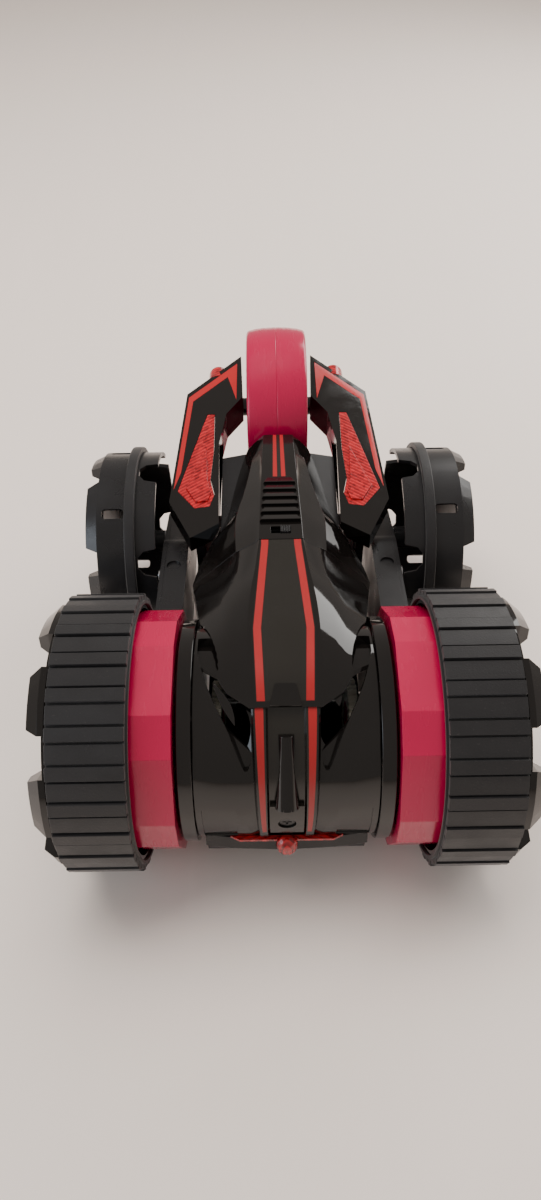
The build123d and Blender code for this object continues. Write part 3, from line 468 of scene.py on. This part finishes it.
def prism(name, points, reach):
    """A closed solid: an outline filled and extruded by a vector."""
    piece = chain(name, points)
    bpy.ops.mesh.edge_face_add()
    bpy.ops.mesh.extrude_region_move(TRANSFORM_OT_translate={"value": reach})
    bpy.ops.object.mode_set(mode="OBJECT")
    return outwards(piece)


def turned(name, profile, middle, steps=96, turn=360.0):
    """A lathe piece about an X axis: profile points are (x, radius) in millimetres."""
    points = [middle + Vector((x, 0, radius)) * MM for x, radius in profile]
    piece = chain(name, points)
    bpy.ops.mesh.spin(steps=steps, angle=radians(turn), center=middle, axis=(1, 0, 0))
    bpy.ops.object.mode_set(mode="OBJECT")
    return outwards(piece)


def cut(piece, cutter, operation="DIFFERENCE"):
    """Cut one solid with another, which is used up, or join it."""
    apply(piece, "BOOLEAN", object=cutter, operation=operation, solver="EXACT")
    bpy.data.objects.remove(cutter)
    return piece


def softened(piece, width, angle=28.0, segments=2):
    """Round the hard edges, and shade the rest smoothly."""
    if width:
        apply(piece, "BEVEL", width=width * MM, segments=segments, limit_method="ANGLE",
              angle_limit=radians(angle), use_clamp_overlap=True, miter_outer="MITER_ARC")
    take(piece)
    bpy.ops.object.shade_smooth()
    apply(piece, "WEIGHTED_NORMAL", weight=60, keep_sharp=False)
    return piece


def dressed(piece, material, body, *nodes):
    """Give a piece its material and body, in place of CAD nodes."""
    piece.data.materials.clear()
    piece.data.materials.append(material)
    if nodes:
        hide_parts(*nodes)
    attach(piece, body)
    return piece


def refined(node, width=0.3, angle=28.0, segments=2, material=None):
    """A CAD node's own shape, merged, its hard edges rounded."""
    piece = NODES[node].copy()
    piece.data = piece.data.copy()
    bpy.context.scene.collection.objects.link(piece)
    for key in list(piece.keys()):
        del piece[key]
    piece.parent = None
    piece.name = node + "_finished"
    edit(piece)
    bpy.ops.mesh.remove_doubles(threshold=0.000002)
    bpy.ops.mesh.dissolve_limited(angle_limit=radians(0.6))
    bpy.ops.object.mode_set(mode="OBJECT")
    softened(piece, width, angle, segments)
    return dressed(piece, material or finish_named(MAKERS[SLOT_OF[node]]), BODY_OF[node], node)


def sector(name, x0, x1, r0, r1, a0, a1, steps=16):
    """A closed block of the band about the front axle."""
    rows = []
    for i in range(steps + 1):
        angle = a0 + (a1 - a0) * i / steps
        rows.append([on_deck(x0, angle, r0), on_deck(x1, angle, r0), on_deck(x1, angle, r1),
                     on_deck(x0, angle, r1)])
    return capped(skin(name, rows, closed=True))


def capped(piece):
    """Close the open ends of a tube of faces."""
    edit(piece)
    bpy.ops.mesh.fill_holes(sides=0)
    bpy.ops.mesh.normals_make_consistent(inside=False)
    bpy.ops.object.mode_set(mode="OBJECT")
    return piece


def ramp(value, *stops):
    """A number read off straight runs between (place, number) stops."""
    for (low, first), (high, last) in zip(stops, stops[1:]):
        if value <= high:
            share = max(0.0, (value - low) / (high - low))
            return first + (last - first) * share
    return stops[-1][1]


def both_ways(half):
    """A row of points from a half row that starts at the middle: -X first."""
    return [Vector((-p.x, p.y, p.z)) for p in reversed(half[1:])] + half


# ---- pieces --------------------------------------------------------------------------------

def deck_row(angle):
    """The deck's half section at an angle: trough, rail, flank, crease and outer edge."""
    trough = ramp(angle, (113, 0.0), (117, 1.7), (205, 1.7))
    foot = ramp(angle, (112, 0.4), (125, 0.9), (148, 2.0), (190, 2.0), (206, 1.2))
    rail = ramp(angle, (115, 12.9), (150, 12.2), (206, 10.9))
    crease = ramp(angle, (120, 34.0), (136, 35.5), (156, 24.0), (187, 15.5), (206, 15.0))
    half = [(0, DECK_R - trough), (7.1, DECK_R - trough), (7.9, DECK_R), (rail, DECK_R),
            (rail + 0.9, DECK_R - foot), (crease, DECK_R - ramp(angle, (130, 0.5), (150, 0.35), (206, 0.9))),
            (36.8, DECK_R - 0.9)]
    return both_ways([on_deck(x, angle, radius) for x, radius in half])


def scoop_cutter(side):
    """The pointed air scoop beside a rail, which runs on up beside the cockpit, sunk towards the axle."""
    outline = [(13.6, 72), (13.5, 126), (13.7, 138), (14.3, 143.5), (15.4, 146.6), (16.6, 146.6), (17.7, 143.6),
               (22.9, 126), (28.4, 112), (31.0, 104), (33.6, 94), (35.4, 84), (35.5, 72)]
    path = []
    for (x0, a0), (x1, a1) in zip(outline, outline[1:]):
        steps = max(1, round(abs(a1 - a0) / 5))
        path += [(x0 + (x1 - x0) * i / steps, a0 + (a1 - a0) * i / steps) for i in range(steps)]
    path.append(outline[-1])
    rows = [[on_deck(side * x, angle, radius) for x, angle in path] for radius in (DECK_R + 3, 42.4)]
    return capped(skin("scoop_cutter", rows, closed=True))


def front_deck():
    """The curved deck: two rails beside a trough, scoops, creased fenders and recessed panels."""
    angles = [60 + 4.85 * i for i in range(30)]
    angles = [a for a in angles if a < NOSE_ANGLE] + [NOSE_ANGLE]
    deck = skin("front_deck_shell", [deck_row(a) for a in angles])
    middle = max(deck.data.polygons, key=lambda face: face.center.z)
    if middle.normal.z < 0:
        edit(deck)
        bpy.ops.mesh.flip_normals()
    apply(deck, "SOLIDIFY", thickness=4.9 * MM, offset=-1.0, use_even_offset=False)
    for side in (1, -1):
        cut(deck, scoop_cutter(side))
        x0, x1 = sorted((side * 20.6, side * 34.4))
        cut(deck, sector("panel", x0, x1, DECK_R - 1.6, DECK_R + 2, 169.7, 202.5))
    cut(deck, sector("screw_block", -6.9, 6.9, DECK_R - 3, DECK_R + 0.2, 166.0, 190.6), "UNION")
    bpy.ops.mesh.primitive_cylinder_add(vertices=40, radius=3.7 * MM, depth=6 * MM,
                                        location=on_deck(0, 180, 47.4), rotation=(pi / 2, 0, 0))
    bpy.ops.object.transform_apply()
    cut(deck, bpy.context.object)
    softened(deck, 0.28, 20.0)
    dressed(deck, finish_named(deck_black), "chassis", "front_deck")


COCKPIT = (  # y, then x and height below the roof of: stem edge, valley edge, crease, outer edge
    (-20.5, (11.6, 9.3), (12.4, 9.5), (13.2, 9.7), (14.2, 9.8)),
    (-15.0, (13.5, 6.4), (16.4, 6.8), (20.0, 7.2), (23.0, 7.4)),
    (-6.0, (14.5, 3.2), (19.6, 4.2), (23.5, 5.0), (27.8, 5.8)),
    (10.0, (15.0, 0.9), (21.0, 2.7), (25.5, 4.6), (31.3, 7.6)),
    (26.0, (14.3, 0.3), (20.6, 3.2), (26.5, 7.0), (35.4, 13.2)),
    (38.0, (13.0, 0.2), (19.6, 4.2), (26.5, 9.6), (37.6, 17.4)),
    (47.0, (11.7, 0.2), (17.0, 4.6), (20.2, 6.4), (38.9, 20.6)),
    (64.8, (9.9, 0.2), (11.9, 2.2), (20.6, 8.0), (41.9, 29.3)))
REAR = (
    (65.2, (9.9, 0.2), (11.9, 2.2), (20.6, 8.0), (41.9, 29.5)),
    (80.0, (9.6, 0.6), (12.0, 2.6), (21.2, 9.2), (39.8, 32.3)),
    (92.0, (9.2, 0.9), (11.6, 3.0), (21.0, 10.6), (35.4, 31.4)),
    (105.0, (8.8, 1.3), (11.0, 3.4), (17.6, 8.6), (29.8, 28.8)),
    (122.0, (8.3, 2.2), (9.8, 4.0), (14.6, 7.8), (24.0, 21.6)),
    (138.0, (7.8, 3.4), (9.4, 5.0), (12.6, 8.2), (18.8, 16.2)),
    (148.0, (7.4, 4.5), (8.6, 5.8), (11.0, 8.1), (15.8, 13.8)),
    (150.8, (5.8, 6.6), (7.0, 7.6), (9.2, 9.6), (14.2, 15.0)))


def between(stations, step):
    """Stations laid evenly along a smooth run through the given ones."""
    filled = []
    for i in range(len(stations) - 1):
        around = [stations[max(0, min(len(stations) - 1, i + k))] for k in (-1, 0, 1, 2)]
        y1, y2 = around[1][0], around[2][0]
        count = max(1, round((y2 - y1) / step))
        for n in range(count):
            t = n / count
            edges = []
            for edge in range(1, 5):
                spot = []
                for axis in (0, 1):
                    before, start, end, after = [row[edge][axis] for row in around]
                    rise = (end - before) * (y2 - y1) / max(y2 - around[0][0], 0.001)
                    fall = (after - start) * (y2 - y1) / max(around[3][0] - y1, 0.001)
                    spot.append(start * (2 * t ** 3 - 3 * t ** 2 + 1) + end * (3 * t ** 2 - 2 * t ** 3)
                                + rise * (t ** 3 - 2 * t ** 2 + t) + fall * (t ** 3 - t ** 2))
                edges.append(tuple(spot))
            filled.append((y1 + (y2 - y1) * t, *edges))
    return filled + [stations[-1]]


def shell_rows(stations, base):
    """Rows of a body shell: a flat stem, a valley, a flank, and a skirt down to a base height."""
    rows = []
    for y, *edges in stations:
        half = [at(0, y, ROOF_Z - edges[0][1])] + [at(x, y, ROOF_Z - drop) for x, drop in edges]
        half.append(at(edges[-1][0] - 0.3, y, base))
        rows.append(both_ways(half))
    return rows


def cockpit():
    """The faceted cockpit shell, cut to sit on the deck and between the side discs."""
    shell = skin("cockpit_shell", shell_rows(between(COCKPIT, 4.0), 62.0))
    if max(shell.data.polygons, key=lambda face: face.center.z).normal.z < 0:
        edit(shell)
        bpy.ops.mesh.flip_normals()
    apply(shell, "SOLIDIFY", thickness=1.8 * MM, offset=-1.0, use_even_offset=True)
    for x0, x1, radius in ((-60, 60, 47.15), (36.8, 60, 48.3), (-60, -36.8, 48.3)):
        bpy.ops.mesh.primitive_cylinder_add(vertices=180, radius=radius * MM, depth=(x1 - x0) * MM,
                                            location=at((x0 + x1) / 2, 0, 60), rotation=(0, pi / 2, 0))
        bpy.ops.object.transform_apply()
        cut(shell, bpy.context.object)
    softened(shell, 0.3, 12.0)
    dressed(shell, finish_named(cockpit_black), "chassis", "canopy_front")
    points = [at(-6.4, -20.6, ROOF_Z - 8.0), at(-4.2, -12.4, ROOF_Z - 4.2), at(4.2, -12.4, ROOF_Z - 4.2),
              at(6.4, -20.6, ROOF_Z - 8.0)]
    tab = prism("windscreen_tab", points, Vector((0, 0.2, -1.6)) * MM)
    softened(tab, 0.25, 28.0)
    dressed(tab, finish_named(gloss_black), "chassis")


def rear_end():
    """The shell's blunt end, its ledges beside the fairings and its lower brim."""
    end = REAR[-1][1:]
    half = [at(x, 150.2, ROOF_Z - drop) for x, drop in end] + [at(13.6, 150.2, 82.0)]
    wall = prism("rear_shell_end", [Vector((-p.x, p.y, p.z)) for p in reversed(half)] + half,
                 Vector((0, -1.6, 0)) * MM)
    softened(wall, 0.3, 28.0)
    dressed(wall, finish_named(gloss_black), "chassis")
    plan = ((12.0, 92.5), (29.2, 92.5), (29.2, 145.8), (12.0, 145.8))
    for name, side in SIDES:
        points = [fairing_top(side * x, y, -3.7) for x, y in plan]
        ledge = prism(name + "_ledge", points, Vector((0, 0, -1.8)) * MM)
        softened(ledge, 0.3, 28.0)
        dressed(ledge, finish_named(satin_black), "chassis")
    plan = ((-33.9, 92.1), (33.9, 92.1), (33.9, 135.9), (-33.9, 135.9))
    brim = prism("rear_brim", [at(x, y, 62.1) for x, y in plan], Vector((0, 0, 1.8)) * MM)
    softened(brim, 0.3, 28.0)
    dressed(brim, finish_named(satin_black), "chassis")


def rear_shell():
    """The rear shell: a ribbed back with a switch window, narrowing to the tail."""
    shell = skin("rear_shell", shell_rows(between(REAR, 6.0), 80.0))
    if max(shell.data.polygons, key=lambda face: face.center.z).normal.z < 0:
        edit(shell)
        bpy.ops.mesh.flip_normals()
    apply(shell, "SOLIDIFY", thickness=1.8 * MM, offset=-1.0, use_even_offset=True)
    low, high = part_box("switch_knob")
    middle = (low + high) / 2
    bpy.ops.mesh.primitive_cube_add(size=1, location=(0, middle.y, middle.z + 3 * MM))
    window = bpy.context.object
    window.scale = (9 * MM, 4.6 * MM, 20 * MM)
    bpy.ops.object.transform_apply()
    cut(shell, window)
    softened(shell, 0.3, 12.0)
    dressed(shell, finish_named(spine_black), "chassis", "canopy_rear")
    rear_end()
    for i in range(6):
        y = 77.0 + 5.6 * i
        top = ROOF_Z - 0.25 * i
        half = 9.6 - 0.35 * i
        profile = [at(-half, y, top - 2), at(-half, y, top + 1.25), at(-half, y + 4.4, top + 0.2),
                   at(-half, y + 4.4, top - 2)]
        rib = prism("louvre_" + str(i + 1), profile, Vector((2 * half * MM, 0, 0)))
        for side in (1, -1):
            edit(rib)
            bpy.ops.mesh.bisect(plane_co=at(side * half, y, top), plane_no=(side * 0.9, 0.42, 0.25),
                                use_fill=True, clear_outer=True)
            bpy.ops.object.mode_set(mode="OBJECT")
        softened(outwards(rib), 0.2, 28.0)
        dressed(rib, finish_named(gloss_black), "chassis")


def fairing_top(x, y, lift=0.0):
    """A point over a tail fairing's sloping top."""
    return at(x, y, 92.0 + 0.143 * (y - 85) - 0.2 * (abs(x) - 20) + lift)


def tail_fairings():
    """The two fairings beside the tail wheel, each with a red chevron sticker."""
    outline = [(21.8, 212.4), (48.55, 192.0), (54.0, 125.5), (50.6, 137.0), (46.15, 188.3), (27.0, 202.9),
               (22.0, 183.5)]
    for name, side in SIDES:
        refined(name + "_tail_fairing", 0.45, 24.0)
        points = [fairing_top(side * x, y, -0.1) for x, y in outline]
        sticker = prism(name + "_chevron", points, Vector((0, 0, 0.18 * MM)))
        softened(sticker, 0.0)
        dressed(sticker, finish_named(sticker_red), BODY_OF[name + "_tail_fairing"])


def wheels():
    """The four wheels with their tyres, hubs and bands, and the tail wheel."""
    for name, side in SIDES:
        refined(name + "_front_tyre", 0.3, 30.0)
        refined(name + "_front_hub", 0.5, 30.0)
        refined(name + "_rear_wheel", 0.45, 30.0)
        refined(name + "_rear_band", 0.5, 30.0)
    tail_wheel()


def tail_wheel():
    """The tail wheel, turned in one piece: a crowned tread with a fine joint line, and dished sides."""
    low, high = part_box("tail_wheel")
    radius = (high.z - low.z) / 2 / MM
    half = high.x / MM
    profile = [(0, radius - 0.45), (0.22, radius - 0.05), (half * 0.4, radius - 0.3), (half * 0.72, radius - 0.9),
               (half - 1.2, radius - 1.7), (half - 0.3, radius - 2.4), (half, radius - 3.3), (half, radius - 6.0),
               (half - 2.0, radius - 8.0), (half - 2.0, 9.0), (half - 0.6, 7.6), (half - 0.6, 2.1)]
    ring = [(-x, r) for x, r in reversed(profile)] + profile[1:]
    wheel = turned("tail_wheel_turned", ring, TAIL_AXLE, 128)
    softened(wheel, 0.25, 24.0)
    dressed(wheel, finish_named(crimson), "tail_wheel", "tail_wheel")


def running_gear():
    """The drums, arms, discs, covers, screws and the axles that show."""
    for name, side in SIDES:
        refined(name + "_swing_drum", 0.6, 12.0)
        refined(name + "_arm_shell", 0.5, 30.0)
        refined(name + "_arm_cover", 0.3, 30.0)
        refined(name + "_arm_screws", 0.15, 30.0)
        refined(name + "_drum_cover", 0.3, 30.0)
    refined("bearing_discs", 0.4, 25.0)
    refined("chassis", 0.4, 25.0)
    refined("battery_door", 0.3, 30.0)
    refined("body_screws", 0.15, 30.0)
    refined("deck_spine", 0.3, 30.0, material=finish_named(gloss_black))


def lamps():
    """The nose lamp, the tail lamps and the domes."""
    refined("nose_lamp", 0.2, 30.0)
    refined("tail_lamps", 0.25, 15.0)
    refined("dome_lamps", 0.2, 30.0)
    refined("front_bumper", 0.5, 12.0)


def switch():
    """The slide switch in its window."""
    refined("switch_body", 0.2, 30.0)
    refined("switch_knob", 0.12, 30.0)


def inner_works():
    """The gears, motors, cells and board inside, which keep their CAD shape."""
    for node, piece in NODES.items():
        if not piece.hide_render:
            piece.data.materials.clear()
            piece.data.materials.append(finish_named(MAKERS[SLOT_OF[node]]))


def floor_pale():
    """Pale table top with a faint grain."""
    look = bpy.context.scene.car_finish
    paint = Paint("pale table")
    grain = paint.noise(9.0, 5.0, 0.6, (5.0, 0.35, 1.0))
    base = tuple(look.floor_colour)
    paint.set(Base_Color=paint.mix(grain, tuple(c * 0.97 for c in base), base), Roughness=0.5)
    return paint.bump(paint.noise(700.0, 2.0), 0.00002)


def stage():
    """The table top, the soft room light and the camera."""
    look = bpy.context.scene.car_finish
    deselect()
    bpy.ops.mesh.primitive_plane_add(size=6.0, location=(0, 0, 0))
    floor = bpy.context.object
    floor.name = "table_top"
    floor.data.materials.append(finish_named(floor_pale))
    world = bpy.data.worlds.new("room")
    bpy.context.scene.world = world
    world.use_nodes = True
    light = world.node_tree.nodes["Background"]
    light.inputs["Color"].default_value = (*look.room_colour, 1)
    light.inputs["Strength"].default_value = look.room_light
    for name, place, aim, size, power, colour in (
            ("window", (0.75, 0.75, 0.62), (0.02, -0.03, 0.09), (0.9, 0.6), 9.0, (1.0, 0.98, 0.95)),
            ("ceiling", (-0.2, 0.35, 1.5), (0.0, 0.0, 0.05), (1.4, 1.0), 30.0, (1.0, 0.94, 0.88)),
            ("door", (-1.1, -0.5, 0.5), (0.0, -0.05, 0.06), (0.7, 0.8), 6.0, (0.78, 0.88, 1.0))):
        bpy.ops.object.light_add(type="AREA", location=place)
        lamp = bpy.context.object
        lamp.name = name
        lamp.data.shape = "RECTANGLE"
        lamp.data.size, lamp.data.size_y = size
        lamp.data.energy = power
        lamp.data.color = colour
        lamp.visible_glossy = name != "ceiling"    # only diffuse light falls from above
        lamp.rotation_euler = (Vector(aim) - Vector(place)).to_track_quat("-Z", "Y").to_euler()
    camera = bpy.data.cameras.new("camera")
    camera.lens = look.lens
    camera.sensor_width = 36.0
    camera.clip_start = 0.01
    eye = bpy.data.objects.new("camera", camera)
    bpy.context.scene.collection.objects.link(eye)
    eye.location = (-0.005094, -0.308279, 0.379417)
    turn = Matrix.Rotation(0.0005, 4, "Z") @ Matrix.Rotation(pi / 2 - 0.8260, 4, "X") \
        @ Matrix.Rotation(-0.0177, 4, "Z")
    eye.rotation_euler = turn.to_euler()
    bpy.context.scene.camera = eye


# ---- add-on --------------------------------------------------------------------------------

class CarFinish(bpy.types.PropertyGroup):
    """Colours and sizes of the finish."""

    shell_colour: FloatVectorProperty(
        name="Shell", description="Colour of the polished shells", subtype="COLOR", size=3, min=0, max=1,
        default=(0.0036, 0.0030, 0.0028))
    sticker_colour: FloatVectorProperty(
        name="Sticker", description="Colour of the dark sticker between the stripes", subtype="COLOR", size=3,
        min=0, max=1, default=(0.011, 0.0098, 0.008))
    stripe_colour: FloatVectorProperty(
        name="Stripe", description="Colour of the sticker stripes", subtype="COLOR", size=3, min=0, max=1,
        default=(0.36, 0.014, 0.016))
    crimson_colour: FloatVectorProperty(
        name="Crimson", description="Colour of the drums and the tail wheel", subtype="COLOR", size=3, min=0,
        max=1, default=(0.47, 0.003, 0.058))
    floor_colour: FloatVectorProperty(
        name="Table", description="Colour of the table top", subtype="COLOR", size=3, min=0, max=1,
        default=(0.88, 0.79, 0.73))
    room_colour: FloatVectorProperty(
        name="Room", description="Colour of the light from all round", subtype="COLOR", size=3, min=0, max=1,
        default=(1.0, 0.9, 0.82))
    room_light: FloatProperty(
        name="Room light", description="Strength of the light from all round", default=0.42, min=0)
    lens: FloatProperty(
        name="Lens", description="Focal length of the camera", default=26.0, min=1, subtype="DISTANCE_CAMERA")


class CAR_OT_front_deck(bpy.types.Operator):
    """Model the curved front deck with its rails, scoops and panels."""

    bl_idname = "car.front_deck"
    bl_label = "Front deck"
    bl_options = {"REGISTER", "UNDO"}

    def execute(self, context):
        front_deck()
        return {"FINISHED"}


class CAR_OT_cockpit(bpy.types.Operator):
    """Model the faceted cockpit shell and its windscreen tab."""

    bl_idname = "car.cockpit"
    bl_label = "Cockpit"
    bl_options = {"REGISTER", "UNDO"}

    def execute(self, context):
        cockpit()
        return {"FINISHED"}


class CAR_OT_rear_shell(bpy.types.Operator):
    """Model the rear shell, its louvres, its end and its ledges."""

    bl_idname = "car.rear_shell"
    bl_label = "Rear shell"
    bl_options = {"REGISTER", "UNDO"}

    def execute(self, context):
        rear_shell()
        return {"FINISHED"}


class CAR_OT_tail_fairings(bpy.types.Operator):
    """Finish the tail fairings and their chevron stickers."""

    bl_idname = "car.tail_fairings"
    bl_label = "Tail fairings"
    bl_options = {"REGISTER", "UNDO"}

    def execute(self, context):
        tail_fairings()
        return {"FINISHED"}


class CAR_OT_wheels(bpy.types.Operator):
    """Finish the four wheels, and turn the tail wheel."""

    bl_idname = "car.wheels"
    bl_label = "Wheels"
    bl_options = {"REGISTER", "UNDO"}

    def execute(self, context):
        wheels()
        return {"FINISHED"}


class CAR_OT_running_gear(bpy.types.Operator):
    """Finish the drums, arms, side discs, chassis and screws."""

    bl_idname = "car.running_gear"
    bl_label = "Running gear"
    bl_options = {"REGISTER", "UNDO"}

    def execute(self, context):
        running_gear()
        return {"FINISHED"}


class CAR_OT_lamps(bpy.types.Operator):
    """Finish the nose lamp, the tail lamps, the domes and the bumper."""

    bl_idname = "car.lamps"
    bl_label = "Lamps"
    bl_options = {"REGISTER", "UNDO"}

    def execute(self, context):
        lamps()
        return {"FINISHED"}


class CAR_OT_switch(bpy.types.Operator):
    """Finish the power switch."""

    bl_idname = "car.switch"
    bl_label = "Switch"
    bl_options = {"REGISTER", "UNDO"}

    def execute(self, context):
        switch()
        return {"FINISHED"}


class CAR_OT_inner_works(bpy.types.Operator):
    """Paint the gears, motors, cells and board inside."""

    bl_idname = "car.inner_works"
    bl_label = "Inner works"
    bl_options = {"REGISTER", "UNDO"}

    def execute(self, context):
        inner_works()
        return {"FINISHED"}


class CAR_OT_stage(bpy.types.Operator):
    """Add the table top, the light and the camera."""

    bl_idname = "car.stage"
    bl_label = "Stage"
    bl_options = {"REGISTER", "UNDO"}

    def execute(self, context):
        stage()
        return {"FINISHED"}


OPERATORS = (CAR_OT_front_deck, CAR_OT_cockpit, CAR_OT_rear_shell, CAR_OT_tail_fairings,
             CAR_OT_wheels, CAR_OT_running_gear, CAR_OT_lamps, CAR_OT_switch,
             CAR_OT_inner_works, CAR_OT_stage)


class CAR_PT_panel(bpy.types.Panel):
    """Sidebar panel that lists the pieces."""

    bl_label = "Stunt car"
    bl_space_type = "VIEW_3D"
    bl_region_type = "UI"
    bl_category = "Stunt car"

    def draw(self, context):
        for step in OPERATORS:
            self.layout.operator(step.bl_idname)
        for name in CarFinish.__annotations__:
            self.layout.prop(context.scene.car_finish, name)


CLASSES = (CarFinish, *OPERATORS, CAR_PT_panel)


def register():
    for item in CLASSES:
        bpy.utils.register_class(item)
    bpy.types.Scene.car_finish = PointerProperty(type=CarFinish)


def unregister():
    del bpy.types.Scene.car_finish
    for item in reversed(CLASSES):
        bpy.utils.unregister_class(item)


def main():
    register()
    for step in OPERATORS:
        getattr(bpy.ops.car, step.bl_idname.split(".")[1])()


if __name__ == "__main__":
    main()
